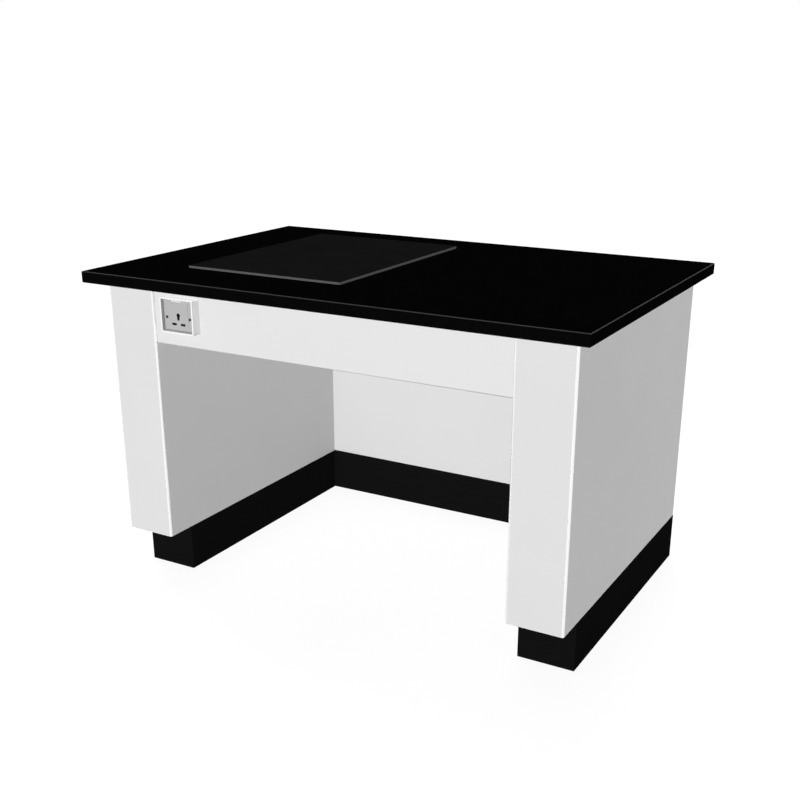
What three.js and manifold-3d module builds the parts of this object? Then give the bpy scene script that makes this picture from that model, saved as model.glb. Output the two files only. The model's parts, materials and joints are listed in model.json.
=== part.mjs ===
// Weighing balance table: a stone worktop on two steel pedestals, with a separate stone weighing slab that
// floats on rubber isolators inside a cut-out of the worktop, and one mains socket on the front apron.
// Millimetres, +Z up. The origin lies on the floor under the middle of the worktop, and the front faces -Y.
import * as THREE from "three";
import { mergeVertices } from "three/addons/utils/BufferGeometryUtils.js";
import Module from "manifold-3d";

// Worktop: its depth is the slab's depth and the margins before and behind the slab
const TOP_WIDTH = 1200;
const WORK_HEIGHT = 740;
const TOP_THICKNESS = 26;
const TOP_ARRIS = 1.5;

// Carcass: pedestals, apron and modesty panel in folded steel sheet
const SIDE_OVERHANG = 36;
const FRONT_OVERHANG = 44;
const REAR_OVERHANG = 28;
const PEDESTAL_WIDTH = 128;
const SHEET = 1.5;
const INSIDE_BEND = 3;
const PEDESTAL_RETURN = 20;
const COVER_MARGIN = 3;
const APRON_HEIGHT = 128;
const APRON_DEPTH = 18;
const MODESTY_DEPTH = 12;

// Plinth
const PLINTH_HEIGHT = 112;
const PLINTH_RECESS = 72;
const PLINTH_BOARD = 12;

// Weighing slab and what carries it
const SLAB_WIDTH = 404;
const SLAB_DEPTH = 540;
const SLAB_THICKNESS = 50;
const SLAB_PROUD = 5;
const SLAB_ARRIS = 1.5;
const SLAB_FROM_FRONT = 156;
const SLAB_FROM_REAR = 104;
const SLAB_FROM_PEDESTAL = 14;
const SLAB_AIR_GAP = 4;
const CARRIER_THICKNESS = 5;
const CARRIER_LAP = 4;
const ISOLATOR_HEIGHT = 30;
const ISOLATOR_END_RADIUS = 20;
const ISOLATOR_WAIST_RADIUS = 14;
const ISOLATOR_FLANGE = 4;
const ISOLATOR_INSET_X = 52;
const ISOLATOR_INSET_Y = 70;

// Frame of square steel tube
const TUBE_SIZE = 40;
const TUBE_WALL = 2;
const TUBE_CORNER = 3;
const BASE_PLATE = 3;
const BOLT_RADIUS = 4;
const BOLT_HEAD_LIP = 2.5;
const BOLT_HEAD_HEIGHT = 5.5;
const BOLT_ENGAGEMENT = 12;

// Levelling feet
const FOOT_INSET = 60;
const PAD_RADIUS = 20;
const PAD_HEIGHT = 14;
const PAD_SOCKET_DEPTH = 8;
const STEM_RADIUS = 6;
const STEM_HEADROOM = 6;
const NUT_WALL = 3.5;
const NUT_HEIGHT = 10;

// Mains socket
const SOCKET_WIDTH = 90;
const SOCKET_HEIGHT = 78;
const SOCKET_DEPTH = 23;
const SOCKET_CORNER = 4;
const SOCKET_FROM_PEDESTAL = 35.5;
const SOCKET_RISE = 9;
const SOCKET_RIM = 3.5;
const SOCKET_RECESS = 7;
const TAB_WIDTH = 28;
const TAB_HEIGHT = 5;
const TAB_SETBACK = 2;
const TAB_CLEARANCE = 2;
const FACE_PLATE = 3;
const MODULE_SIDE_MARGIN = 14;
const MODULE_END_MARGIN = 8;
const MODULE_PROUD = 0.8;
const MODULE_AIR = 1;
const PIN_SPACING = 24;
const PIN_DROP = 19;
const PIN_SLOT_WIDTH = 4.8;
const PIN_SLOT_REACH = 4.2;
const EARTH_SLOT_WIDTH = 5;
const EARTH_SLOT_DROP = 9.5;
const EARTH_EYE_SWELL = 1.5;
const EARTH_EYE_RISE = 1;
const CONTACT_LENGTH = 10;
const CONTACT_TAIL = 2.5;
const CONTACT_BACK_MARGIN = 1.5;
const SCREW_EDGE = 9.5;
const SCREW_DROP = 5;
const SCREW_RADIUS = 1.75;
const SCREW_HEAD_LIP = 1.45;
const SCREW_HEAD_HEIGHT = 1.6;
const SCREW_END_MARGIN = 5;

// Cable entry in the modesty panel
const GROMMET_BORE = 8;
const GROMMET_WALL = 5;
const GROMMET_FLANGE = 4;
const GROMMET_LIP = 4;
const GROMMET_BELOW_RAIL = 5;

// Clearances
const SEAT_GAP = 0.2;
const LOOSE_FIT = 0.6;
const THREAD_FIT = 0.6;
const CONTACT_FIT = 0.35;

// Facets on round shapes
const BEND_STEPS = 4;
const ARC_STEPS = 4;
const TUBE_CORNER_STEPS = 2;
const ROUND_SIDES = 16;
const MERGE_DISTANCE = 1e-4;

// Planes of the worktop and the carcass
const topDepth = SLAB_FROM_FRONT + SLAB_DEPTH + SLAB_FROM_REAR;
const topUnder = WORK_HEIGHT - TOP_THICKNESS;
const carcassTop = topUnder - SEAT_GAP;
const carcassFront = -topDepth / 2 + FRONT_OVERHANG;
const carcassRear = topDepth / 2 - REAR_OVERHANG;
const pedestalOuter = TOP_WIDTH / 2 - SIDE_OVERHANG;
const pedestalInner = pedestalOuter - PEDESTAL_WIDTH;
const pedestalCentre = pedestalOuter - PEDESTAL_WIDTH / 2;
const bendOuter = INSIDE_BEND + SHEET;
const apronBottom = topUnder - APRON_HEIGHT;
const apronFront = carcassFront + bendOuter;
const apronBack = apronFront + APRON_DEPTH;
const modestyFront = carcassRear - MODESTY_DEPTH;

// Planes of the plinth and the feet
const plinthTop = PLINTH_HEIGHT - SEAT_GAP;
const plinthFront = carcassFront + PLINTH_RECESS;
const rearBoardFront = carcassRear - PLINTH_BOARD;
const footRailBottom = plinthTop - TUBE_SIZE;
const footY = [plinthFront + PLINTH_BOARD + FOOT_INSET, rearBoardFront - FOOT_INSET];
const stemTop = plinthTop - TUBE_WALL - STEM_HEADROOM;

// The stack under the weighing slab, from the top down
const slabCentreX = -pedestalInner + SLAB_FROM_PEDESTAL + SLAB_WIDTH / 2;
const slabCentreY = -topDepth / 2 + SLAB_FROM_FRONT + SLAB_DEPTH / 2;
const slabBottom = WORK_HEIGHT + SLAB_PROUD - SLAB_THICKNESS;
const carrierTop = slabBottom - SEAT_GAP;
const carrierBottom = carrierTop - CARRIER_THICKNESS;
const isolatorBottom = carrierBottom - SEAT_GAP - ISOLATOR_HEIGHT;
const bearerTop = isolatorBottom - SEAT_GAP;
const railBottom = bearerTop + SEAT_GAP;
const railHeight = carcassTop - railBottom;
const isolatorX = [-1, 1].map((side) => slabCentreX + side * (SLAB_WIDTH / 2 - ISOLATOR_INSET_X));
const isolatorY = [-1, 1].map((side) => slabCentreY + side * (SLAB_DEPTH / 2 - ISOLATOR_INSET_Y));
const railY = [apronBack + SEAT_GAP + TUBE_SIZE / 2, modestyFront - SEAT_GAP - TUBE_SIZE / 2];

// Planes of the socket, from its front to its back
const socketX = -pedestalInner + SOCKET_FROM_PEDESTAL + SOCKET_WIDTH / 2;
const socketZ = apronBottom + APRON_HEIGHT / 2 + SOCKET_RISE;
const collarBack = apronFront - SEAT_GAP;
const collarFront = collarBack - SOCKET_DEPTH;
const plateFront = collarFront + SOCKET_RECESS;
const plateBack = plateFront + FACE_PLATE;
const ledgeFront = plateBack + SEAT_GAP;
const contactBack = apronBack - CONTACT_BACK_MARGIN;
const moduleBack = contactBack - CONTACT_TAIL;
const pocketWidth = SOCKET_WIDTH - 2 * SOCKET_RIM;
const pocketHeight = SOCKET_HEIGHT - 2 * SOCKET_RIM;
const moduleWidth = pocketWidth - 2 * MODULE_SIDE_MARGIN;
const moduleHeight = pocketHeight - 2 * MODULE_END_MARGIN;

const SIDES = [
  { side: -1, word: "left" },
  { side: 1, word: "right" },
];
const ENDS = ["front", "rear"];

// Finishes
function finish(color, roughness, metalness = 0) {
  return new THREE.MeshStandardMaterial({ color, roughness, metalness });
}
const honedBlack = finish(0x0c0c0d, 0.5);
const slabStone = finish(0x1d1d1f, 0.4);
const whiteEnamel = finish(0xf0f1f0, 0.45);
const plinthBlack = finish(0x141415, 0.55);
const greyFrame = finish(0x8a8e92, 0.5, 0.6);
const zincSteel = finish(0xb9bcbf, 0.35, 0.9);
const blackRubber = finish(0x1b1b1c, 0.85);
const whitePlastic = finish(0xf6f6f4, 0.35);
const greyPlastic = finish(0xb9bbbb, 0.4);
const brass = finish(0xb5924c, 0.35, 0.9);

// Boolean cuts and joins
const wasm = await Module();
wasm.setup();

function toSolid(geometry) {
  const bare = geometry.clone();
  bare.deleteAttribute("normal");
  bare.deleteAttribute("uv");
  const merged = mergeVertices(bare, MERGE_DISTANCE);
  const vertProperties = merged.getAttribute("position").array;
  const triVerts = new Uint32Array(merged.index.array);
  return new wasm.Manifold(new wasm.Mesh({ numProp: 3, vertProperties, triVerts }));
}

function toGeometry(solid) {
  const { vertProperties, triVerts } = solid.getMesh();
  const geometry = new THREE.BufferGeometry();
  geometry.setAttribute("position", new THREE.BufferAttribute(vertProperties, 3));
  geometry.setIndex(new THREE.BufferAttribute(triVerts, 1));
  geometry.computeVertexNormals();
  return geometry;
}

function cut(geometry, tools) {
  return toGeometry(tools.reduce((solid, tool) => solid.subtract(toSolid(tool)), toSolid(geometry)));
}

function join(first, second) {
  return toGeometry(toSolid(first).add(toSolid(second)));
}

// A mesh with its own name, material and place.
function named(name, geometry, material, place = [0, 0, 0]) {
  const mesh = new THREE.Mesh(geometry, material.clone());
  mesh.name = name;
  mesh.position.set(...place);
  return mesh;
}

// A box that fills the spans given for X, Y and Z.
function block(x, y, z) {
  const geometry = new THREE.BoxGeometry(x[1] - x[0], y[1] - y[0], z[1] - z[0]);
  return geometry.translate((x[0] + x[1]) / 2, (y[0] + y[1]) / 2, (z[0] + z[1]) / 2);
}

// A flat board that fills such spans, as a mesh that stands at its own centre.
function board(name, material, x, y, z) {
  const geometry = new THREE.BoxGeometry(x[1] - x[0], y[1] - y[0], z[1] - z[0]);
  return named(name, geometry, material, [(x[0] + x[1]) / 2, (y[0] + y[1]) / 2, (z[0] + z[1]) / 2]);
}

// A rectangle round the origin, drawn into a shape or, for a hole, into a path.
function rectangle(width, height, radius = 0, path = new THREE.Shape()) {
  const x = width / 2;
  const y = height / 2;
  const corners = [
    { x: x - radius, y: radius - y, from: -Math.PI / 2 },
    { x: x - radius, y: y - radius, from: 0 },
    { x: radius - x, y: y - radius, from: Math.PI / 2 },
    { x: radius - x, y: radius - y, from: Math.PI },
  ];
  if (radius === 0) {
    return path.setFromPoints(corners.map((corner) => new THREE.Vector2(corner.x, corner.y)));
  }
  corners.forEach((corner) => {
    path.absarc(corner.x, corner.y, radius, corner.from, corner.from + Math.PI / 2, false);
  });
  return path;
}

function rectangularHole(width, height) {
  return rectangle(width, height, 0, new THREE.Path());
}

function roundHole(x, y, radius) {
  return new THREE.Path().absarc(x, y, radius, 0, Math.PI * 2, true);
}

function hexagon(acrossFlats) {
  const radius = acrossFlats / Math.sqrt(3);
  const corner = (i) => new THREE.Vector2(Math.cos((i * Math.PI) / 3), Math.sin((i * Math.PI) / 3));
  return new THREE.Shape([0, 1, 2, 3, 4, 5].map((i) => corner(i).multiplyScalar(radius)));
}

// Extrudes a flat shape upwards from z = 0.
function prism(shape, length, curveSegments = ARC_STEPS) {
  return new THREE.ExtrudeGeometry(shape, { depth: length, bevelEnabled: false, curveSegments });
}

// Extrudes a shape drawn in X and Z, as seen from the front, from one Y plane back to another.
function frontPrism(shape, front, back) {
  return prism(shape, back - front).rotateX(Math.PI / 2).translate(0, back, 0);
}

// A stone slab with a small chamfer round both faces, from z = 0 up.
function stoneSlab(shape, thickness, arris) {
  const chamfer = { bevelThickness: arris, bevelSize: arris, bevelOffset: -arris, bevelSegments: 1 };
  const slab = new THREE.ExtrudeGeometry(shape, { depth: thickness - 2 * arris, ...chamfer });
  return slab.translate(0, 0, arris);
}

// The section of a strip of sheet that is folded square at each inner corner of an open line.
function foldedSection(corners) {
  const left = [];
  const right = [];
  const last = corners.length - 1;
  const middleRadius = INSIDE_BEND + SHEET / 2;
  const direction = (i) => corners[i + 1].clone().sub(corners[i]).normalize();
  const normalOf = (along) => new THREE.Vector2(-along.y, along.x);
  const addPair = (point, normal) => {
    left.push(point.clone().addScaledVector(normal, SHEET / 2));
    right.push(point.clone().addScaledVector(normal, -SHEET / 2));
  };
  addPair(corners[0], normalOf(direction(0)));
  for (let i = 1; i < last; i++) {
    const before = direction(i - 1);
    const after = direction(i);
    const turn = Math.sign(before.cross(after));
    const centre = corners[i].clone().addScaledVector(before, -middleRadius);
    centre.addScaledVector(after, middleRadius);
    for (let step = 0; step <= BEND_STEPS; step++) {
      const angle = (turn * Math.PI * step) / (2 * BEND_STEPS);
      const normal = normalOf(before).rotateAround(new THREE.Vector2(), angle);
      addPair(centre.clone().addScaledVector(normal, -turn * middleRadius), normal);
    }
  }
  addPair(corners[last], normalOf(direction(last - 1)));
  return new THREE.Shape([...left, ...right.reverse()]);
}

// Square or rectangular tube, centred on its own axis, which runs along local Z.
function tube(width, height, length) {
  const section = rectangle(width, height, TUBE_CORNER);
  const boreCorner = Math.max(TUBE_CORNER - TUBE_WALL, 0);
  section.holes.push(rectangle(width - 2 * TUBE_WALL, height - 2 * TUBE_WALL, boreCorner, new THREE.Path()));
  return prism(section, length, TUBE_CORNER_STEPS).translate(0, 0, -length / 2);
}

// Tubes laid along X and along Y: the sizes are the tube's reach along X, Y and Z.
function tubeAlongX(x, y, z) {
  return tube(z, y, x).rotateY(Math.PI / 2);
}

function tubeAlongY(x, y, z) {
  return tube(x, z, y).rotateX(-Math.PI / 2);
}

// A round solid on the Z axis, from a profile of radius and height pairs.
function turned(profile) {
  const points = profile.map(([radius, height]) => new THREE.Vector2(radius, height));
  return new THREE.LatheGeometry(points, ROUND_SIDES).rotateX(Math.PI / 2);
}

// A plain round bar on the Z axis, between two heights.
function rod(radius, bottom, top) {
  const bar = new THREE.CylinderGeometry(radius, radius, top - bottom, ROUND_SIDES);
  return bar.rotateX(Math.PI / 2).translate(0, 0, (bottom + top) / 2);
}

function buildWorktop() {
  const outline = rectangle(TOP_WIDTH, topDepth);
  const opening = rectangularHole(SLAB_WIDTH + 2 * SLAB_AIR_GAP, SLAB_DEPTH + 2 * SLAB_AIR_GAP);
  const slabCentre = new THREE.Vector2(slabCentreX, slabCentreY);
  outline.holes.push(new THREE.Path(opening.getPoints().map((point) => point.add(slabCentre))));
  return named("worktop", stoneSlab(outline, TOP_THICKNESS, TOP_ARRIS), honedBlack, [0, 0, topUnder]);
}

// The slab and the steel plate it lies on, which move together on the isolators. The plate reaches under the
// edge of the worktop's cut-out, so it closes the air gap from below.
function buildWeighingPlatform() {
  const group = new THREE.Group();
  group.position.set(slabCentreX, slabCentreY, 0);
  const stone = stoneSlab(rectangle(SLAB_WIDTH, SLAB_DEPTH), SLAB_THICKNESS, SLAB_ARRIS);
  group.add(named("weighing_slab", stone, slabStone, [0, 0, slabBottom]));
  const halfX = SLAB_WIDTH / 2 + SLAB_AIR_GAP + CARRIER_LAP;
  const halfY = SLAB_DEPTH / 2 + SLAB_AIR_GAP + CARRIER_LAP;
  const spanZ = [carrierBottom, carrierTop];
  group.add(board("slab_carrier_plate", zincSteel, [-halfX, halfX], [-halfY, halfY], spanZ));
  return group;
}

// Four waisted rubber mounts between the carrier plate and the bearers.
function buildIsolators() {
  const group = new THREE.Group();
  const profile = [
    [0, 0],
    [ISOLATOR_END_RADIUS, 0],
    [ISOLATOR_END_RADIUS, ISOLATOR_FLANGE],
    [ISOLATOR_WAIST_RADIUS, ISOLATOR_HEIGHT / 2],
    [ISOLATOR_END_RADIUS, ISOLATOR_HEIGHT - ISOLATOR_FLANGE],
    [ISOLATOR_END_RADIUS, ISOLATOR_HEIGHT],
    [0, ISOLATOR_HEIGHT],
  ];
  ENDS.forEach((end, row) => {
    SIDES.forEach(({ word }, column) => {
      const place = [isolatorX[column], isolatorY[row], isolatorBottom];
      group.add(named(`isolator_${end}_${word}`, turned(profile), blackRubber, place));
    });
  });
  return group;
}

// Two cross rails between the pedestals, and two bearers that are bolted under them.
function buildSlabFrame() {
  const group = new THREE.Group();
  const railLength = 2 * (pedestalInner - SEAT_GAP);
  const holeRadius = BOLT_RADIUS + LOOSE_FIT;
  const underRail = -railHeight / 2;
  ENDS.forEach((end, row) => {
    const hole = rod(holeRadius, underRail - BOLT_ENGAGEMENT, underRail + BOLT_ENGAGEMENT);
    const holes = isolatorX.map((x) => hole.clone().translate(x, 0, 0));
    const rail = cut(tubeAlongX(railLength, TUBE_SIZE, railHeight), holes);
    group.add(named(`${end}_cross_rail`, rail, greyFrame, [0, railY[row], railBottom + railHeight / 2]));
  });

  const bearerFront = railY[0] - TUBE_SIZE / 2 + TUBE_WALL;
  const bearerRear = railY[1] + TUBE_SIZE / 2 - TUBE_WALL;
  const bearerY = (bearerFront + bearerRear) / 2;
  SIDES.forEach(({ word }, column) => {
    const holes = railY.map((y) => rod(holeRadius, -TUBE_SIZE, TUBE_SIZE).translate(0, y - bearerY, 0));
    const bearer = cut(tubeAlongY(TUBE_SIZE, bearerRear - bearerFront, TUBE_SIZE), holes);
    const place = [isolatorX[column], bearerY, bearerTop - TUBE_SIZE / 2];
    group.add(named(`${word}_slab_bearer`, bearer, greyFrame, place));
  });
  return group;
}

// The hexagon bolts that hold the bearers up against the rails.
function buildBearerBolts() {
  const group = new THREE.Group();
  const headTop = bearerTop - TUBE_SIZE - SEAT_GAP;
  const shankTop = railBottom + BOLT_ENGAGEMENT - TUBE_WALL - headTop;
  const head = prism(hexagon(2 * (BOLT_RADIUS + BOLT_HEAD_LIP)), BOLT_HEAD_HEIGHT);
  const shank = rod(BOLT_RADIUS, -BOLT_HEAD_HEIGHT / 2, shankTop);
  const bolt = join(head.translate(0, 0, -BOLT_HEAD_HEIGHT), shank);
  ENDS.forEach((end, row) => {
    SIDES.forEach(({ word }, column) => {
      const place = [isolatorX[column], railY[row], headTop];
      group.add(named(`bearer_bolt_${end}_${word}`, bolt.clone(), zincSteel, place));
    });
  });
  return group;
}

// The white skin of one pedestal: a shell folded from one sheet, closed by a rear cover.
function buildPedestalSkin({ side, word }) {
  const group = new THREE.Group();
  group.position.set(side * pedestalCentre, 0, 0);
  const half = PEDESTAL_WIDTH / 2 - SHEET / 2;
  const front = carcassFront + SHEET / 2;
  const rear = carcassRear - SHEET / 2;
  const tip = PEDESTAL_WIDTH / 2 - PEDESTAL_RETURN;
  const line = [
    new THREE.Vector2(tip, rear),
    new THREE.Vector2(half, rear),
    new THREE.Vector2(half, front),
    new THREE.Vector2(-half, front),
    new THREE.Vector2(-half, rear),
    new THREE.Vector2(-tip, rear),
  ];
  const shell = prism(foldedSection(line), carcassTop - PLINTH_HEIGHT);
  group.add(named(`${word}_pedestal_shell`, shell, whiteEnamel, [0, 0, PLINTH_HEIGHT]));

  const coverHalf = PEDESTAL_WIDTH / 2 - COVER_MARGIN;
  const coverFront = carcassRear + SEAT_GAP;
  const coverZ = [PLINTH_HEIGHT + COVER_MARGIN, carcassTop - COVER_MARGIN];
  const coverY = [coverFront, coverFront + SHEET];
  group.add(board(`${word}_rear_cover`, whiteEnamel, [-coverHalf, coverHalf], coverY, coverZ));
  return group;
}

// The load path inside one pedestal: base plate, two posts against the inner skin, and the top rail.
function buildPedestalFrame({ side, word }) {
  const group = new THREE.Group();
  const plateWidth = PEDESTAL_WIDTH - 2 * (SHEET + LOOSE_FIT);
  const plateDepth = carcassRear - carcassFront - 2 * (SHEET + LOOSE_FIT);
  const plate = prism(rectangle(plateWidth, plateDepth, INSIDE_BEND), BASE_PLATE);
  const middleY = (carcassFront + carcassRear) / 2;
  group.add(named(`${word}_base_plate`, plate, greyFrame, [side * pedestalCentre, middleY, PLINTH_HEIGHT]));

  const postX = side * (pedestalInner + SHEET + SEAT_GAP + TUBE_SIZE / 2);
  const postBottom = PLINTH_HEIGHT + BASE_PLATE + SEAT_GAP;
  const postHeight = carcassTop - TUBE_SIZE - SEAT_GAP - postBottom;
  ENDS.forEach((end, row) => {
    const place = [postX, footY[row], postBottom + postHeight / 2];
    group.add(named(`${word}_${end}_post`, tube(TUBE_SIZE, TUBE_SIZE, postHeight), greyFrame, place));
  });

  const railLength = carcassRear - carcassFront - 2 * bendOuter;
  const topRail = tubeAlongY(TUBE_SIZE, railLength, TUBE_SIZE);
  group.add(named(`${word}_top_rail`, topRail, greyFrame, [postX, middleY, carcassTop - TUBE_SIZE / 2]));
  return group;
}

// A folded tray that is open at its back: a skin with four returned edges.
function tray(x, y, z) {
  const hollowX = [x[0] + SHEET, x[1] - SHEET];
  const hollowY = [y[0] + SHEET, y[1] + SHEET];
  const hollowZ = [z[0] + SHEET, z[1] - SHEET];
  return cut(block(x, y, z), [block(hollowX, hollowY, hollowZ)]);
}

// The white apron, with a window behind the socket.
function buildApron() {
  const half = pedestalInner - LOOSE_FIT;
  const panel = tray([-half, half], [apronFront, apronBack], [apronBottom, carcassTop]);
  const opening = rectangle(moduleWidth + 2 * MODULE_AIR, moduleHeight + 2 * MODULE_AIR);
  const window = frontPrism(opening, apronFront - SHEET, apronFront + 2 * SHEET);
  return named("apron", cut(panel, [window.translate(socketX, 0, socketZ)]), whiteEnamel);
}

// The white panel at the back of the knee space, with the rubber grommet that the supply cable enters by.
function buildModestyPanel() {
  const group = new THREE.Group();
  const half = pedestalInner - SEAT_GAP;
  const neck = GROMMET_BORE + GROMMET_WALL;
  const flange = neck + GROMMET_FLANGE;
  const grommetPlace = [slabCentreX, modestyFront + SHEET / 2, railBottom - flange - GROMMET_BELOW_RAIL];
  const panel = tray([-half, half], [modestyFront, carcassRear], [PLINTH_HEIGHT, carcassTop]);
  const hole = rod(neck + LOOSE_FIT, -SHEET, SHEET).rotateX(Math.PI / 2).translate(...grommetPlace);
  group.add(named("modesty_panel", cut(panel, [hole]), whiteEnamel));

  const throat = SHEET / 2 + SEAT_GAP;
  const end = throat + GROMMET_LIP;
  const profile = [
    [GROMMET_BORE, -end],
    [flange, -end],
    [flange, -throat],
    [neck, -throat],
    [neck, throat],
    [flange, throat],
    [flange, end],
    [GROMMET_BORE, end],
    [GROMMET_BORE, -end],
  ];
  const grommet = named("cable_grommet", turned(profile), blackRubber, grommetPlace);
  grommet.rotation.x = Math.PI / 2;
  group.add(grommet);
  return group;
}

// Plinth boards round the foot of one pedestal, and the foot rail that they are screwed to.
function buildPlinth({ side, word }) {
  const group = new THREE.Group();
  group.position.set(side * pedestalCentre, 0, 0);
  const half = PEDESTAL_WIDTH / 2;
  const frontBack = plinthFront + PLINTH_BOARD;
  const sideY = [frontBack + SEAT_GAP, rearBoardFront - SEAT_GAP];
  const spanZ = [0, plinthTop];
  const leftX = [-half, PLINTH_BOARD - half];
  const rightX = [half - PLINTH_BOARD, half];
  const [outerX, innerX] = side < 0 ? [leftX, rightX] : [rightX, leftX];
  group.add(board(`${word}_plinth_front`, plinthBlack, [-half, half], [plinthFront, frontBack], spanZ));
  group.add(board(`${word}_plinth_outer`, plinthBlack, outerX, sideY, spanZ));
  group.add(board(`${word}_plinth_inner`, plinthBlack, innerX, sideY, spanZ));

  const middleY = (sideY[0] + sideY[1]) / 2;
  const stemHole = rod(STEM_RADIUS + THREAD_FIT, -TUBE_SIZE, 0);
  const holes = footY.map((y) => stemHole.clone().translate(0, y - middleY, 0));
  const rail = cut(tubeAlongY(TUBE_SIZE, sideY[1] - sideY[0], TUBE_SIZE), holes);
  group.add(named(`${word}_foot_rail`, rail, greyFrame, [0, middleY, footRailBottom + TUBE_SIZE / 2]));
  return group;
}

// The plinth board along the whole rear, which carries the modesty panel.
function buildRearPlinth() {
  const spanX = [-pedestalOuter, pedestalOuter];
  return board("rear_plinth", plinthBlack, spanX, [rearBoardFront, carcassRear], [0, plinthTop]);
}

// A levelling foot: a pad that slides down, a threaded stem that turns in it, and a lock nut under the rail.
function buildFoot({ side, word }, end, row) {
  const group = new THREE.Group();
  group.position.set(side * pedestalCentre, footY[row], 0);
  const socketFloor = PAD_HEIGHT - PAD_SOCKET_DEPTH;
  const boreRadius = STEM_RADIUS + THREAD_FIT;
  const pad = turned([
    [0, 0],
    [PAD_RADIUS, 0],
    [PAD_RADIUS, socketFloor],
    [(PAD_RADIUS + boreRadius) / 2, PAD_HEIGHT],
    [boreRadius, PAD_HEIGHT],
    [boreRadius, socketFloor],
    [0, socketFloor],
  ]);
  group.add(named(`foot_pad_${end}_${word}`, pad, blackRubber));
  group.add(named(`foot_stem_${end}_${word}`, rod(STEM_RADIUS, socketFloor + SEAT_GAP, stemTop), zincSteel));

  const nutShape = hexagon(2 * (STEM_RADIUS + NUT_WALL));
  nutShape.holes.push(roundHole(0, 0, boreRadius));
  const nut = prism(nutShape, NUT_HEIGHT, ROUND_SIDES);
  group.add(named(`lock_nut_${end}_${word}`, nut, zincSteel, [0, 0, footRailBottom - SEAT_GAP - NUT_HEIGHT]));
  return group;
}

// A pin opening: a flat slot with rounded ends. Trim draws it smaller.
function pinSlot(x, y, trim, path) {
  const half = PIN_SLOT_WIDTH / 2 - trim;
  path.absarc(x + PIN_SLOT_REACH, y, half, Math.PI / 2, -Math.PI / 2, true);
  path.absarc(x - PIN_SLOT_REACH, y, half, -Math.PI / 2, Math.PI / 2, true);
  return path;
}

// The earth opening: a round eye with a narrower slot hanging from it. Trim draws it smaller.
function earthSlot(trim, path) {
  const half = EARTH_SLOT_WIDTH / 2 - trim;
  const eye = half + EARTH_EYE_SWELL;
  const lean = Math.asin(half / eye);
  const bottom = EARTH_SLOT_WIDTH / 2 - EARTH_SLOT_DROP;
  path.moveTo(half, EARTH_EYE_RISE - eye * Math.cos(lean));
  path.absarc(0, bottom, half, 0, -Math.PI, true);
  path.lineTo(-half, EARTH_EYE_RISE - eye * Math.cos(lean));
  path.absarc(0, EARTH_EYE_RISE, eye, -Math.PI / 2 - lean, lean - Math.PI / 2, true);
  return path;
}

// Where the two fixing screws stand, as seen from the front.
const screwX = SIDES.map(({ side }) => side * (pocketWidth / 2 - SCREW_EDGE));

function addScrewHoles(shape) {
  screwX.forEach((x) => shape.holes.push(roundHole(x, -SCREW_DROP, SCREW_RADIUS + THREAD_FIT)));
}

// The white collar that stands on the apron, with a pocket for the face plate and a tab in its upper edge.
function buildSocketCollar() {
  const outline = rectangle(SOCKET_WIDTH, SOCKET_HEIGHT, SOCKET_CORNER);
  outline.holes.push(rectangularHole(moduleWidth + 2 * MODULE_AIR, moduleHeight + 2 * MODULE_AIR));
  addScrewHoles(outline);
  const pocket = frontPrism(rectangle(pocketWidth, pocketHeight), collarFront - SOCKET_DEPTH, ledgeFront);
  const body = cut(frontPrism(outline, collarFront, collarBack), [pocket]);
  const tabX = [-TAB_WIDTH / 2, TAB_WIDTH / 2];
  const tabY = [collarFront + TAB_SETBACK, plateFront - TAB_CLEARANCE];
  const tabZ = [pocketHeight / 2 - TAB_HEIGHT, pocketHeight / 2 + SOCKET_RIM / 2];
  return named("socket_collar", join(body, block(tabX, tabY, tabZ)), whitePlastic);
}

function buildFacePlate() {
  const outline = rectangle(pocketWidth - 2 * LOOSE_FIT, pocketHeight - 2 * LOOSE_FIT);
  outline.holes.push(rectangularHole(moduleWidth + 2 * SEAT_GAP, moduleHeight + 2 * SEAT_GAP));
  addScrewHoles(outline);
  return named("socket_face_plate", frontPrism(outline, plateFront, plateBack), greyPlastic);
}

// The insert with the pin openings, and the brass contacts at the back of each.
function buildSocketModule() {
  const group = new THREE.Group();
  const outline = rectangle(moduleWidth, moduleHeight);
  outline.holes.push(earthSlot(0, new THREE.Path()));
  const pinX = SIDES.map(({ side }) => (side * PIN_SPACING) / 2);
  pinX.forEach((x) => outline.holes.push(pinSlot(x, -PIN_DROP, 0, new THREE.Path())));
  const moduleFront = plateFront - MODULE_PROUD;
  group.add(named("socket_module", frontPrism(outline, moduleFront, moduleBack), greyPlastic));

  const contact = (shape) => frontPrism(shape, contactBack - CONTACT_LENGTH, contactBack);
  group.add(named("earth_contact", contact(earthSlot(CONTACT_FIT, new THREE.Shape())), brass));
  ["neutral_contact", "line_contact"].forEach((name, i) => {
    const shape = pinSlot(pinX[i], -PIN_DROP, CONTACT_FIT, new THREE.Shape());
    group.add(named(name, contact(shape), brass));
  });
  return group;
}

// The screws that hold the face plate to the collar, with their heads towards the front.
function buildPlateScrews() {
  const group = new THREE.Group();
  const length = collarBack - SCREW_END_MARGIN - plateFront;
  const headRadius = SCREW_RADIUS + SCREW_HEAD_LIP;
  const screw = turned([
    [0, 0],
    [SCREW_RADIUS, 0],
    [SCREW_RADIUS, length],
    [headRadius, length],
    [headRadius, length + SCREW_HEAD_HEIGHT / 2],
    [headRadius - SCREW_HEAD_HEIGHT / 2, length + SCREW_HEAD_HEIGHT],
    [0, length + SCREW_HEAD_HEIGHT],
  ]);
  SIDES.forEach(({ word }, i) => {
    const place = [screwX[i], plateFront - SEAT_GAP + length, -SCREW_DROP];
    const mesh = named(`plate_screw_${word}`, screw.clone(), zincSteel, place);
    mesh.rotation.x = Math.PI / 2;
    group.add(mesh);
  });
  return group;
}

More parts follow.
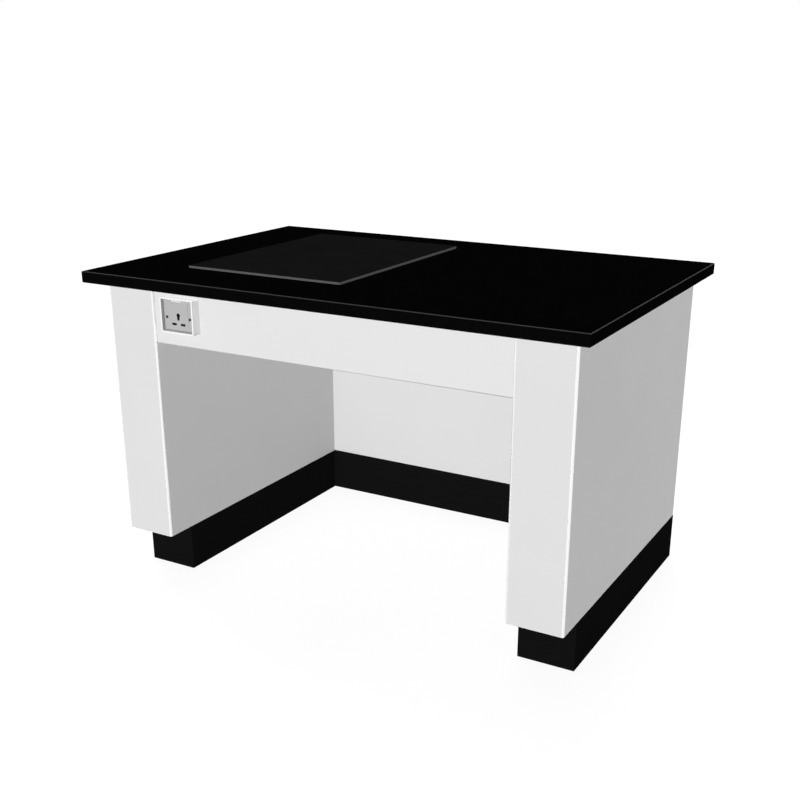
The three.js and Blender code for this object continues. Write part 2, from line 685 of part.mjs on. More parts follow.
function buildSocket() {
  const group = new THREE.Group();
  group.position.set(socketX, 0, socketZ);
  group.add(buildSocketCollar(), buildFacePlate(), buildSocketModule(), buildPlateScrews());
  return group;
}

const table = new THREE.Group();
table.add(buildWorktop(), buildWeighingPlatform(), buildIsolators(), buildSlabFrame(), buildBearerBolts());
table.add(buildApron(), buildModestyPanel(), buildRearPlinth(), buildSocket());
SIDES.forEach((place) => {
  table.add(buildPedestalSkin(place), buildPedestalFrame(place), buildPlinth(place));
  ENDS.forEach((end, row) => table.add(buildFoot(place, end, row)));
});

export default table;
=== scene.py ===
"""The looks of a weighing balance table: finishes, folded and eased edges, turned rubber, small fittings."""
import json
import math

import bmesh
import bpy
from mathutils import Matrix, Vector


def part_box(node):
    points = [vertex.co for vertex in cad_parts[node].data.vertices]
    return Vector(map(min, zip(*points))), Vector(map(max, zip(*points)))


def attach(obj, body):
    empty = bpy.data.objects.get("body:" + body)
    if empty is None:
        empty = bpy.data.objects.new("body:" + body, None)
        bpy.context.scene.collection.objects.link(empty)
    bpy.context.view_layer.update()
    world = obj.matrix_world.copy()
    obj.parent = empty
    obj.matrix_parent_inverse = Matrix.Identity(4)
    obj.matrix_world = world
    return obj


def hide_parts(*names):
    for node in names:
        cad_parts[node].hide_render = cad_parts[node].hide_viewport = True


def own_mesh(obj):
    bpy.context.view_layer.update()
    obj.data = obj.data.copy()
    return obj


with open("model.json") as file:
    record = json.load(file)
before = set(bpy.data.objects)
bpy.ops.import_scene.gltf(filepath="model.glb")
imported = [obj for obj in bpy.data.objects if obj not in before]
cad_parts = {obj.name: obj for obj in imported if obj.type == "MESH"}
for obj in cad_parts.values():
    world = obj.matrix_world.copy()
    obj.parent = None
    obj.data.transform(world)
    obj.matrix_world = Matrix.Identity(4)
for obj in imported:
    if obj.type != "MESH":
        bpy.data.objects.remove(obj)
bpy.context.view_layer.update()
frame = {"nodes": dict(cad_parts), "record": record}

MM = 0.001

# Camera, fitted to the table's corners in the photograph
IMAGE_SIZE = 800
FOCAL_PIXELS = 1122
VIEW_CENTRE = (403, 468)
CAMERA_PLACE = (1.2572, -2.2159, 1.1982)
CAMERA_YAW = 29.62
CAMERA_PITCH = -20.36
SENSOR_WIDTH = 36

# Lights: azimuth runs from the front round to the right, and level 1 shows a white face as white.
# The key and the left light cast no shadow, as in the flat light of the photograph.
KEY_AZIMUTH = 27
KEY_ELEVATION = 45
KEY_LEVEL = 0.87
KEY_SPREAD = 14
LEFT_AZIMUTH = -55
LEFT_ELEVATION = 20
LEFT_LEVEL = 0.2
LEFT_SPREAD = 20
REAR_AZIMUTH = 220
REAR_ELEVATION = 40
REAR_LEVEL = 0.6
REAR_SPREAD = 60
WORLD_LEVEL = 0.15

# Floor
FLOOR_REACH = 30
FLOOR_DROP = 0.2 * MM
FLOOR_TONE = 0.25
FLOOR_GLOW = 0.765

# Edges of the pieces
WELD = 0.01 * MM
FLAT_ANGLE = math.radians(1)
SHARP_ANGLE = math.radians(35)
STONE_EASE = 0.3 * MM
SHEET_EASE = 0.3 * MM
FOLD_RADIUS = 3 * MM
FOLD_STEPS = 4
TUBE_EASE = 0.4 * MM
BOARD_EASE = 0.8 * MM
RIM_EASE = 1.6 * MM
RIM_STEPS = 4
PLASTIC_EASE = 0.5 * MM
INSERT_EASE = 0.3 * MM
PLATE_CHAMFER = 1.8 * MM
LEAD_IN = 0.5 * MM
EARTH_LEAD_IN = 1.1 * MM
METAL_EASE = 0.3 * MM
ISOLATOR_EASE = 0.3 * MM
PAD_EASE = 0.6 * MM
GROMMET_EASE = 1.2 * MM

# How near to a border, or to the middle for the earth opening, a face or an edge counts as part of it
ARRIS_REACH = 4 * MM
POCKET_REACH = 1 * MM
EARTH_REACH = 5 * MM

# How much of its normal lies along an axis, at least or at most, where a face is level, upright, square to
# the axis, on a bend or in a hole
LEVEL_SHARE = 0.95
UPRIGHT_SHARE = 0.3
SQUARE_SHARE = 0.9
BEND_SHARE = 0.1
HOLE_SHARE = 0.5

# Turned pieces and fasteners
ROUND_SIDES = 48
ISOLATOR_FLANGE = 4 * MM
ISOLATOR_WAIST = 14 * MM
ISOLATOR_STEPS = 12
PAD_BORE = 6.6 * MM
PAD_FLOOR = 6 * MM
GROMMET_BORE = 8 * MM
GROMMET_NECK = 13 * MM
GROMMET_LIP = 4 * MM
THREAD_PITCH = 1.75 * MM
THREAD_DEPTH = 0.9 * MM
THREAD_SIDES = 16
THREAD_STEPS = 4
SCREW_SIDES = 32
SCREW_DOME_STEPS = 6
SCREW_RIM_SHARE = 0.35
RECESS_REACH_SHARE = 0.6
RECESS_WIDTH_SHARE = 0.28
RECESS_FLOOR_SHARE = 0.4
PLATE_SCREW_SHANK = 1.75 * MM
PLATE_SCREW_HEAD = 1.6 * MM
COVER_SCREW_RADIUS = 4 * MM
COVER_SCREW_HEAD = 2.2 * MM
COVER_SCREW_SHANK = 2 * MM
COVER_SCREW_LENGTH = 1 * MM
COVER_SCREW_INSET = 7 * MM
COVER_SCREW_ROWS = 4
COVER_SCREW_END = 30 * MM

SIDES = ("left", "right")
ENDS = ("front", "rear")
CORNERS = [f"{end}_{side}" for end in ENDS for side in SIDES]

behaviour = frame["record"]["behaviour"]
body_of_node = {node: body for body, nodes in behaviour["bodies"].items() for node in nodes}


# Materials

def grey(level, blue=1.0):
    return (level, level, level * blue, 1.0)


class Finish:
    """A procedural material under construction: one shader, with textures laid out in real sizes."""

    MIX_FACTOR, MIX_FIRST, MIX_SECOND, MIX_RESULT = 0, 6, 7, 2

    def __init__(self, name, settings):
        self.material = bpy.data.materials.new(name)
        self.material.use_nodes = True
        self.tree = self.material.node_tree
        self.shader = self.tree.nodes["Principled BSDF"]
        self.place = self.add("ShaderNodeTexCoord").outputs["Object"]
        for socket, value in settings.items():
            self.shader.inputs[socket].default_value = value

    def add(self, kind):
        return self.tree.nodes.new(kind)

    def join(self, source, target):
        self.tree.links.new(source, target)

    def scaled_place(self, size, stretch):
        mapping = self.add("ShaderNodeMapping")
        mapping.inputs["Scale"].default_value = [1 / (size * length) for length in stretch]
        self.join(self.place, mapping.inputs["Vector"])
        return mapping.outputs["Vector"]

    def patches(self, size, detail=2.0, stretch=(1, 1, 1)):
        """Soft patches of about that size, drawn out along the axes by stretch."""
        noise = self.add("ShaderNodeTexNoise")
        noise.inputs["Scale"].default_value = 1
        noise.inputs["Detail"].default_value = detail
        self.join(self.scaled_place(size, stretch), noise.inputs["Vector"])
        return noise.outputs["Fac"]

    def grains(self, size, share):
        """1 on a share of the small grains that fill the material, and 0 on the others."""
        cells = self.add("ShaderNodeTexVoronoi")
        cells.inputs["Scale"].default_value = 1
        self.join(self.scaled_place(size, (1, 1, 1)), cells.inputs["Vector"])
        split = self.add("ShaderNodeSeparateColor")
        self.join(cells.outputs["Color"], split.inputs["Color"])
        chosen = self.ramp(split.outputs["Red"], 0, 1, start=1 - share, stop=1 - 0.6 * share)
        core = self.ramp(cells.outputs["Distance"], 1, 0, start=0.3, stop=0.5)
        both = self.add("ShaderNodeMath")
        both.operation = "MULTIPLY"
        self.join(chosen, both.inputs[0])
        self.join(core, both.inputs[1])
        return both.outputs["Value"]

    def ramp(self, value, low, high, start=0.35, stop=0.65):
        """Takes the span from start to stop to the span from low to high."""
        node = self.add("ShaderNodeMapRange")
        node.inputs["From Min"].default_value = start
        node.inputs["From Max"].default_value = stop
        node.inputs["To Min"].default_value = low
        node.inputs["To Max"].default_value = high
        self.join(value, node.inputs["Value"])
        return node.outputs["Result"]

    def blend(self, factor, first, second):
        """A colour between two, each given as a colour or as a texture's output."""
        mix = self.add("ShaderNodeMix")
        mix.data_type = "RGBA"
        self.join(factor, mix.inputs[self.MIX_FACTOR])
        for index, colour in ((self.MIX_FIRST, first), (self.MIX_SECOND, second)):
            if isinstance(colour, tuple):
                mix.inputs[index].default_value = colour
            else:
                self.join(colour, mix.inputs[index])
        return mix.outputs[self.MIX_RESULT]

    def colour(self, source):
        self.join(source, self.shader.inputs["Base Color"])

    def roughness(self, source):
        self.join(source, self.shader.inputs["Roughness"])

    def uneven_roughness(self, mean, spread, size, detail=2.0):
        """A roughness that wanders about its mean, in patches of that size."""
        self.roughness(self.ramp(self.patches(size, detail), mean - spread, mean + spread))

    def relief(self, height, depth):
        bump = self.add("ShaderNodeBump")
        bump.inputs["Distance"].default_value = depth
        self.join(height, bump.inputs["Height"])
        self.join(bump.outputs["Normal"], self.shader.inputs["Normal"])


# A shine above 0 gives the coat a metallic share; on the shell's bends it paints a reflection of the white
# surroundings.
def powder_coat(name, tone, gloss, roughness, shine=0.0):
    """Baked coat on sheet steel: fine orange peel, with a slight drift of tone and gloss."""
    finish = Finish(name, {"Specular IOR Level": gloss, "Metallic": shine})
    drift = finish.ramp(finish.patches(size=220 * MM), 0, 1)
    finish.colour(finish.blend(drift, grey(tone * 0.985), grey(tone)))
    finish.uneven_roughness(roughness, spread=0.06, size=35 * MM)
    finish.relief(finish.patches(size=2.5 * MM, detail=3), depth=0.02 * MM)
    return finish.material


def black_stone(name, tone, fleck, roughness):
    """Dense dark stone: a drifting ground, fine pale grains and a honed, dull surface."""
    finish = Finish(name, {"Specular IOR Level": 0.0})
    drift = finish.ramp(finish.patches(size=45 * MM, detail=5), 0, 1)
    ground = finish.blend(drift, grey(tone * 0.93), grey(tone * 1.07))
    finish.colour(finish.blend(finish.grains(size=1.6 * MM, share=0.16), ground, grey(fleck)))
    finish.uneven_roughness(roughness, spread=0.06, size=6 * MM, detail=4)
    finish.relief(finish.patches(size=0.7 * MM, detail=3), depth=0.01 * MM)
    return finish.material


def sawn_stone(name, tone):
    """Ground stone edge: paler than the honed face, with short marks of the wheel."""
    finish = Finish(name, {"Specular IOR Level": 0.1})
    marks = finish.ramp(finish.patches(size=1.2 * MM, detail=3, stretch=(12, 12, 1)), 0, 1)
    finish.colour(finish.blend(marks, grey(tone * 0.85), grey(tone * 1.1)))
    finish.roughness(finish.ramp(marks, 0.55, 0.7))
    finish.relief(marks, depth=0.02 * MM)
    return finish.material


def black_laminate(name):
    """Plinth board: black pressed laminate with a pebbled face and faint scuffs."""
    finish = Finish(name, {"Specular IOR Level": 0.0})
    pebbles = finish.ramp(finish.patches(size=1.4 * MM, detail=2), 0, 1)
    ground = finish.blend(pebbles, grey(0.0065), grey(0.0085))
    rubbed = finish.patches(size=5 * MM, detail=6, stretch=(14, 14, 1))
    scuffs = finish.ramp(rubbed, 0, 0.5, start=0.58, stop=0.75)
    finish.colour(finish.blend(scuffs, ground, grey(0.013)))
    finish.uneven_roughness(0.58, spread=0.08, size=20 * MM)
    finish.relief(finish.patches(size=0.9 * MM, detail=2), depth=0.03 * MM)
    return finish.material


def frame_paint(name):
    """Grey paint on square tube: a slight drift of tone over a fine orange peel."""
    finish = Finish(name, {"Specular IOR Level": 0.4})
    drift = finish.ramp(finish.patches(size=60 * MM, detail=4), 0, 1)
    finish.colour(finish.blend(drift, grey(0.24, blue=1.05), grey(0.29, blue=1.05)))
    finish.uneven_roughness(0.5, spread=0.08, size=25 * MM)
    finish.relief(finish.patches(size=1.6 * MM, detail=3), depth=0.03 * MM)
    return finish.material


def zinc(name, tone, roughness):
    """Zinc plate, bright or blackened: small crystals and a slightly uneven shine."""
    finish = Finish(name, {"Metallic": 1.0})
    crystals = finish.ramp(finish.patches(size=1.8 * MM, detail=4), 0, 1)
    finish.colour(finish.blend(crystals, grey(tone * 0.8, blue=1.04), grey(tone, blue=1.04)))
    finish.uneven_roughness(roughness, spread=0.07, size=4 * MM, detail=3)
    finish.relief(crystals, depth=0.008 * MM)
    return finish.material


def rubber(name):
    """Moulded black rubber: dull, with a fine grain and a little bloom."""
    finish = Finish(name, {"Specular IOR Level": 0.2})
    bloom = finish.ramp(finish.patches(size=9 * MM, detail=4), 0, 1)
    finish.colour(finish.blend(bloom, grey(0.011), grey(0.02)))
    finish.roughness(finish.ramp(bloom, 0.7, 0.86))
    finish.relief(finish.patches(size=0.5 * MM, detail=2), depth=0.03 * MM)
    return finish.material


# A shine above 0 gives the plastic a metallic share; on the collar's rim it paints a reflection of the white
# surroundings.
def moulded_plastic(name, tone, roughness, gloss=0.4, shine=0.0):
    """Moulded thermoset: a satin skin with a very fine texture and faint flow marks."""
    finish = Finish(name, {"Specular IOR Level": gloss, "Metallic": shine})
    flow = finish.ramp(finish.patches(size=14 * MM, detail=3, stretch=(1, 1, 2)), 0, 1)
    finish.colour(finish.blend(flow, grey(tone * 0.97), grey(tone)))
    finish.uneven_roughness(roughness, spread=0.05, size=5 * MM)
    finish.relief(finish.patches(size=0.4 * MM, detail=2), depth=0.01 * MM)
    return finish.material


def sheet_brass(name):
    """Pressed brass with drawn streaks and a light tarnish."""
    finish = Finish(name, {"Metallic": 1.0})
    tarnish = finish.ramp(finish.patches(size=3 * MM, detail=4, stretch=(1, 5, 1)), 0, 1)
    finish.colour(finish.blend(tarnish, (0.42, 0.27, 0.09, 1.0), (0.62, 0.43, 0.16, 1.0)))
    finish.roughness(finish.ramp(tarnish, 0.45, 0.28))
    finish.relief(tarnish, depth=0.01 * MM)
    return finish.material


white_enamel = powder_coat("white_enamel", tone=0.88, gloss=0.02, roughness=0.38)
apron_enamel = powder_coat("apron_enamel", tone=0.92, gloss=0.02, roughness=0.38)
# Painted highlight: a brighter, glossier coat for the front folds of the apron and modesty panel.
fold_highlight_enamel = powder_coat("fold_highlight_enamel", tone=0.97, gloss=0.8, roughness=0.22)
# Painted highlight: a brighter coat with a metallic share for the bends of the pedestal shells.
bend_highlight_enamel = powder_coat("bend_highlight_enamel", tone=0.99, gloss=0.8, roughness=0.3, shine=0.6)
worktop_stone = black_stone("worktop_stone", tone=0.001, fleck=0.004, roughness=0.5)
worktop_edge = black_stone("worktop_edge", tone=0.0028, fleck=0.008, roughness=0.55)
slab_stone = black_stone("slab_stone", tone=0.0052, fleck=0.013, roughness=0.42)
# Partly the paler ground stone of the arris and partly a painted highlight along the worktop's outer edge.
arris_grind_and_highlight = sawn_stone("arris_grind_and_highlight", tone=0.025)
slab_edge = sawn_stone("slab_edge", tone=0.11)
plinth_black = black_laminate("plinth_black")
frame_steel = frame_paint("frame_steel")
zinc_steel = zinc("zinc_steel", tone=0.6, roughness=0.32)
dark_screw = zinc("dark_screw", tone=0.06, roughness=0.4)
black_rubber = rubber("black_rubber")
white_plastic = moulded_plastic("white_plastic", tone=0.84, roughness=0.34)
# Painted highlight: a brighter, glossy plastic with a metallic share for the collar's front rim.
rim_highlight_plastic = moulded_plastic("rim_highlight_plastic", tone=0.99, roughness=0.24, gloss=0.8, shine=0.6)
grey_plastic = moulded_plastic("grey_plastic", tone=0.55, roughness=0.4)
# Painted shade: a darker grey for the collar's pocket walls and ledge and for the face plate's chamfered
# border.
pocket_shade_plastic = moulded_plastic("pocket_shade_plastic", tone=0.4, roughness=0.45)
# Painted shade: near black for the insides of the socket's pin openings and their lead-ins.
opening_shade_plastic = moulded_plastic("opening_shade_plastic", tone=0.012, roughness=0.5)
brass = sheet_brass("brass")


# Mesh helpers

def welded(node):
    """The CAD node as a mesh with shared corners and whole flat faces."""
    source = frame["nodes"][node].data
    bm = bmesh.new()
    corners = {}
    for polygon in source.polygons:
        loop = []
        for index in polygon.vertices:
            place = source.vertices[index].co
            key = tuple(round(value / WELD) for value in place)
            if key not in corners:
                corners[key] = bm.verts.new(place)
            loop.append(corners[key])
        if len(set(loop)) == len(loop):
            bm.faces.new(loop)
    bmesh.ops.dissolve_limit(bm, angle_limit=FLAT_ANGLE, verts=bm.verts, edges=bm.edges)
    bm.normal_update()
    return bm


def sharp_edges(bm):
    return [edge for edge in bm.edges if edge.is_manifold and edge.calc_face_angle() > SHARP_ANGLE]


def ease(bm, edges, width, steps=2, finish=-1):
    """Rounds the given edges; the rounded faces take their neighbours' finish, or one given by its place."""
    bmesh.ops.bevel(
        bm, geom=edges, offset=width, offset_type="OFFSET", segments=steps,
        profile=0.5, affect="EDGES", clamp_overlap=True, material=finish,
    )
    bm.normal_update()


def as_mesh(bm, name, finishes):
    mesh = bpy.data.meshes.new(name)
    bm.to_mesh(mesh)
    bm.free()
    for finish in finishes:
        mesh.materials.append(finish)
    for polygon in mesh.polygons:
        polygon.use_smooth = True
    mesh.set_sharp_from_angle(angle=SHARP_ANGLE)
    return mesh


def place_piece(mesh, name, body, stands_for=(), matrix=Matrix.Identity(4)):
    """An object of that mesh that moves with a body and may stand for CAD nodes."""
    piece = bpy.data.objects.new(name, mesh)
    bpy.context.scene.collection.objects.link(piece)
    piece.matrix_world = matrix
    flat_faces = piece.modifiers.new("flat_faces", "WEIGHTED_NORMAL")
    flat_faces.keep_sharp = True
    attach(piece, body)
    if stands_for:
        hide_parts(*stands_for)
    return piece


def dress(node, bm, finishes):
    """Shows a mesh in place of a CAD node, on the node's own body."""
    name = f"{node}_dressed"
    return place_piece(as_mesh(bm, name, finishes), name, body_of_node[node], [node])


def dress_eased(node, finish, width, steps=2):
    """Shows a CAD node with all its sharp edges rounded."""
    bm = welded(node)
    ease(bm, sharp_edges(bm), width, steps)
    return dress(node, bm, [finish])


def ring(bm, radius, height, sides):
    """The corners of a ring about Z: on the axis they are all the same one."""
    if radius == 0:
        return [bm.verts.new((0, 0, height))] * sides
    angles = [2 * math.pi * i / sides for i in range(sides)]
    return [bm.verts.new((radius * math.cos(angle), radius * math.sin(angle), height)) for angle in angles]


def turned(profile, sides=ROUND_SIDES):
    """A round solid about Z from pairs of radius and height that start and end on the axis, or meet."""
    bm = bmesh.new()
    closed = profile[0] == profile[-1]
    points = profile[:-1] if closed else profile
    rings = [ring(bm, radius, height, sides) for radius, height in points]
    following = rings[1:] + rings[:1] if closed else rings[1:]
    for lower, upper in zip(rings, following):
        for i in range(sides):
            j = (i + 1) % sides
            loop = dict.fromkeys((lower[i], lower[j], upper[j], upper[i]))
            bm.faces.new(list(loop))
    bmesh.ops.recalc_face_normals(bm, faces=bm.faces)
    return bm


def middle(low, high):
    return (low + high) / 2


# Stone

def dress_worktop():
    """The stone top: honed face, dark edge and round the outside a pale arris, partly ground stone and
    partly a painted highlight.
    """
    bm = welded("worktop")
    low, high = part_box("worktop")
    finishes = [worktop_stone, worktop_edge, arris_grind_and_highlight]
    # The outer arris takes the pale colour that is partly ground stone and partly a painted highlight.
    for face in bm.faces:
        centre = face.calc_center_median()
        outside = min(centre.x - low.x, high.x - centre.x, centre.y - low.y, high.y - centre.y) < ARRIS_REACH
        if abs(face.normal.z) < UPRIGHT_SHARE:
            face.material_index = finishes.index(worktop_edge)
        elif abs(face.normal.z) < LEVEL_SHARE and outside:
            face.material_index = finishes.index(arris_grind_and_highlight)
    ease(bm, sharp_edges(bm), STONE_EASE)
    dress("worktop", bm, finishes)


def dress_slab():
    """The weighing slab: honed on top, with ground sides that show where it stands proud."""
    bm = welded("weighing_slab")
    finishes = [slab_stone, slab_edge]
    for face in bm.faces:
        if abs(face.normal.z) < UPRIGHT_SHARE:
            face.material_index = finishes.index(slab_edge)
    ease(bm, sharp_edges(bm), STONE_EASE)
    dress("weighing_slab", bm, finishes)


# Sheet steel

def dress_shell(node):
    """A folded shell, whose bends carry a brighter, part metallic coat as a painted highlight."""
    bm = welded(node)
    finishes = [white_enamel, bend_highlight_enamel]
    # Faces on the bends take the painted highlight coat.
    for face in bm.faces:
        if min(abs(face.normal.x), abs(face.normal.y)) > BEND_SHARE:
            face.material_index = finishes.index(bend_highlight_enamel)
    ease(bm, sharp_edges(bm), SHEET_EASE, steps=1)
    dress(node, bm, finishes)


def dress_tray(node, coat):
    """A folded tray: the upper and lower edges of its front are bends, and the others are sheared."""
    bm = welded(node)
    low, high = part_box(node)
    finishes = [coat, fold_highlight_enamel]
    folds = []
    for edge in sharp_edges(bm):
        first, second = (vert.co for vert in edge.verts)
        on_front = max(first.y, second.y) < low.y + WELD
        on_rim = min(abs(first.z - side) + abs(second.z - side) for side in (low.z, high.z)) < WELD
        if on_front and on_rim:
            folds.append(edge)
    # The rounded folds take the painted highlight coat.
    ease(bm, folds, FOLD_RADIUS, FOLD_STEPS, finishes.index(fold_highlight_enamel))
    ease(bm, sharp_edges(bm), SHEET_EASE, steps=1)
    dress(node, bm, finishes)


def pan_head_screw(head_radius, head_height, shank_radius, length):
    """A plain screw along Z, seated at z = 0 with its domed head upwards."""
    rim = SCREW_RIM_SHARE * head_height
    crown = head_height - rim
    profile = [(0, -length), (shank_radius, -length), (shank_radius, 0), (head_radius, 0)]
    for step in range(SCREW_DOME_STEPS):
        angle = math.pi / 2 * step / SCREW_DOME_STEPS
        profile.append((head_radius * math.cos(angle), rim + crown * math.sin(angle)))
    profile.append((0, head_height))
    return turned(profile, SCREW_SIDES)


def cross_cutter(reach, width, bottom, top):
    """A plus shaped prism that cuts a screw's recess."""
    bm = bmesh.new()
    half = width / 2
    quarter = [(reach, -half), (reach, half), (half, half)]
    outline = []
    for turn in range(4):
        spin = Matrix.Rotation(turn * math.pi / 2, 2)
        outline += [spin @ Vector(point) for point in quarter]
    lower = [bm.verts.new((point.x, point.y, bottom)) for point in outline]
    upper = [bm.verts.new((point.x, point.y, top)) for point in outline]
    bm.faces.new(lower[::-1])
    bm.faces.new(upper)
    for i in range(len(outline)):
        j = (i + 1) % len(outline)
        bm.faces.new((lower[i], lower[j], upper[j], upper[i]))
    return bm


def cut(body, tool):
    """The first mesh with the second cut out of it; both are used up."""
    objects = []
    for bm in (body, tool):
        mesh = bpy.data.meshes.new("cut")
        bm.to_mesh(mesh)
        bm.free()
        objects.append(bpy.data.objects.new("cut", mesh))
        bpy.context.scene.collection.objects.link(objects[-1])
    boolean = objects[0].modifiers.new("cut", "BOOLEAN")
    boolean.operation = "DIFFERENCE"
    boolean.solver = "EXACT"
    boolean.object = objects[1]
    graph = bpy.context.evaluated_depsgraph_get()
    result = bmesh.new()
    result.from_mesh(objects[0].evaluated_get(graph).to_mesh())
    for item in objects:
        bpy.data.meshes.remove(item.data)
    return result


def recessed_screw(head_radius, head_height, shank_radius, length):
    """A pan head screw with a cross recess in its head."""
    screw = pan_head_screw(head_radius, head_height, shank_radius, length)
    reach = RECESS_REACH_SHARE * head_radius
    width = RECESS_WIDTH_SHARE * head_radius
    recess = cross_cutter(reach, width, RECESS_FLOOR_SHARE * head_height, 2 * head_height)
    return cut(screw, recess)


def add_cover_screws():
    """Pan head screws down both edges of each rear cover, into the shell's returned edges."""
    screw = recessed_screw(COVER_SCREW_RADIUS, COVER_SCREW_HEAD, COVER_SCREW_SHANK, COVER_SCREW_LENGTH)
    mesh = as_mesh(screw, "cover_screw", [zinc_steel])
    facing_rear = Matrix.Rotation(-math.pi / 2, 4, "X")
    for side in SIDES:
        low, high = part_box(f"{side}_rear_cover")
        bottom = low.z + COVER_SCREW_END
        spacing = (high.z - COVER_SCREW_END - bottom) / (COVER_SCREW_ROWS - 1)
        for row in range(COVER_SCREW_ROWS):
            for column, x in enumerate((low.x + COVER_SCREW_INSET, high.x - COVER_SCREW_INSET)):
                place = Matrix.Translation((x, high.y, bottom + row * spacing))
                name = f"{side}_cover_screw_{row + 1}_{column + 1}"
                place_piece(mesh, name, "table", matrix=place @ facing_rear)


def dress_sheet_steel():
    for side in SIDES:
        dress_shell(f"{side}_pedestal_shell")
        dress_eased(f"{side}_rear_cover", white_enamel, SHEET_EASE)
    dress_tray("apron", apron_enamel)
    dress_tray("modesty_panel", white_enamel)
    add_cover_screws()


# Frame, plinth and bolts

def dress_frame():
    for end in ENDS:
        dress_eased(f"{end}_cross_rail", frame_steel, TUBE_EASE)
    for side in SIDES:
        for part in ("slab_bearer", "base_plate", "front_post", "rear_post", "top_rail", "foot_rail"):
            dress_eased(f"{side}_{part}", frame_steel, TUBE_EASE)
    dress_eased("slab_carrier_plate", zinc_steel, METAL_EASE)
    for corner in CORNERS:
        dress_eased(f"bearer_bolt_{corner}", zinc_steel, METAL_EASE)


def dress_plinth():
    for side in SIDES:
        for part in ("front", "outer", "inner"):
            dress_eased(f"{side}_plinth_{part}", plinth_black, BOARD_EASE, steps=3)
    dress_eased("rear_plinth", plinth_black, BOARD_EASE, steps=3)


# Rubber mounts, feet and grommet

def dress_isolators():
    """Waisted rubber mounts; the real ones flatten a little as the slab goes down."""
    for corner in CORNERS:
        node = f"isolator_{corner}"
        low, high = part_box(node)
        end_radius = (high.x - low.x) / 2
        height = high.z - low.z
        neck = height - 2 * ISOLATOR_FLANGE
        profile = [(0, 0), (end_radius, 0)]
        for step in range(ISOLATOR_STEPS + 1):
            along = step / ISOLATOR_STEPS
            radius = end_radius - (end_radius - ISOLATOR_WAIST) * math.sin(math.pi * along)
            profile.append((radius, ISOLATOR_FLANGE + neck * along))
        profile += [(end_radius, height), (0, height)]
        bm = turned(profile)
        ease(bm, sharp_edges(bm), ISOLATOR_EASE, steps=3)
        centre = middle(low, high)
        bm.transform(Matrix.Translation((centre.x, centre.y, low.z)))
        piece = dress(node, bm, [black_rubber])
        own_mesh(piece)


def threaded_rod(radius, length):
    """A rod along Z with a helical thread cut into it."""
    bm = bmesh.new()
    rings = []
    count = round(length / THREAD_PITCH * THREAD_STEPS)
    for step in range(count + 1):
        height = length * step / count
        corners = []
        for side in range(THREAD_SIDES):
            turn = height / THREAD_PITCH - side / THREAD_SIDES
            reach = radius - THREAD_DEPTH * abs(2 * (turn % 1) - 1)
            angle = 2 * math.pi * side / THREAD_SIDES
            corners.append(bm.verts.new((reach * math.cos(angle), reach * math.sin(angle), height)))
        rings.append(corners)
    for lower, upper in zip(rings, rings[1:]):
        for i in range(THREAD_SIDES):
            j = (i + 1) % THREAD_SIDES
            bm.faces.new((lower[i], lower[j], upper[j], upper[i]))
    bm.faces.new(rings[0][::-1])
    bm.faces.new(rings[-1])
    return bm


def dress_feet():
    for corner in CORNERS:
        pad = f"foot_pad_{corner}"
        low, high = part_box(pad)
        radius = (high.x - low.x) / 2
        height = high.z - low.z
        bm = turned([
            (0, 0), (radius, 0), (radius, PAD_FLOOR), (middle(radius, PAD_BORE), height),
            (PAD_BORE, height), (PAD_BORE, PAD_FLOOR), (0, PAD_FLOOR),
        ])
        ease(bm, sharp_edges(bm), PAD_EASE, steps=3)
        centre = middle(low, high)
        bm.transform(Matrix.Translation((centre.x, centre.y, low.z)))
        dress(pad, bm, [black_rubber])

        stem = f"foot_stem_{corner}"
        low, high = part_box(stem)
        bm = threaded_rod((high.x - low.x) / 2, high.z - low.z)
        bm.transform(Matrix.Translation((centre.x, centre.y, low.z)))
        dress(stem, bm, [zinc_steel])
        dress_eased(f"lock_nut_{corner}", zinc_steel, METAL_EASE)


def dress_grommet():
    """The cable entry: a round rubber bush with a lip on either side of the panel."""
    low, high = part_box("cable_grommet")
    flange = (high.x - low.x) / 2
    end = (high.y - low.y) / 2
    throat = end - GROMMET_LIP
    bm = turned([
        (GROMMET_BORE, -end), (flange, -end), (flange, -throat), (GROMMET_NECK, -throat),
        (GROMMET_NECK, throat), (flange, throat), (flange, end), (GROMMET_BORE, end), (GROMMET_BORE, -end),
    ])
    lips = [edge for edge in sharp_edges(bm) if abs(edge.verts[0].co.z) > middle(throat, end)]
    ease(bm, lips, GROMMET_EASE, steps=3)
    bm.transform(Matrix.Translation(middle(low, high)) @ Matrix.Rotation(math.pi / 2, 4, "X"))
    dress("cable_grommet", bm, [black_rubber])


# Mains socket

def front_edges(bm, front):
    """The sharp edges that lie in the foremost plane."""
    return [edge for edge in sharp_edges(bm) if all(vert.co.y < front + WELD for vert in edge.verts)]


def inset(place, low, high):
    """How far a point lies inside the outline of a box, seen from the front."""
    return min(place.x - low.x, high.x - place.x, place.z - low.z, high.z - place.z)


def outline_edges(bm, low, high, within):
    """The front edges that lie within a short way of the outline of a box."""
    edges = front_edges(bm, low.y)
    return [edge for edge in edges if inset(middle(edge.verts[0].co, edge.verts[1].co), low, high) < within]


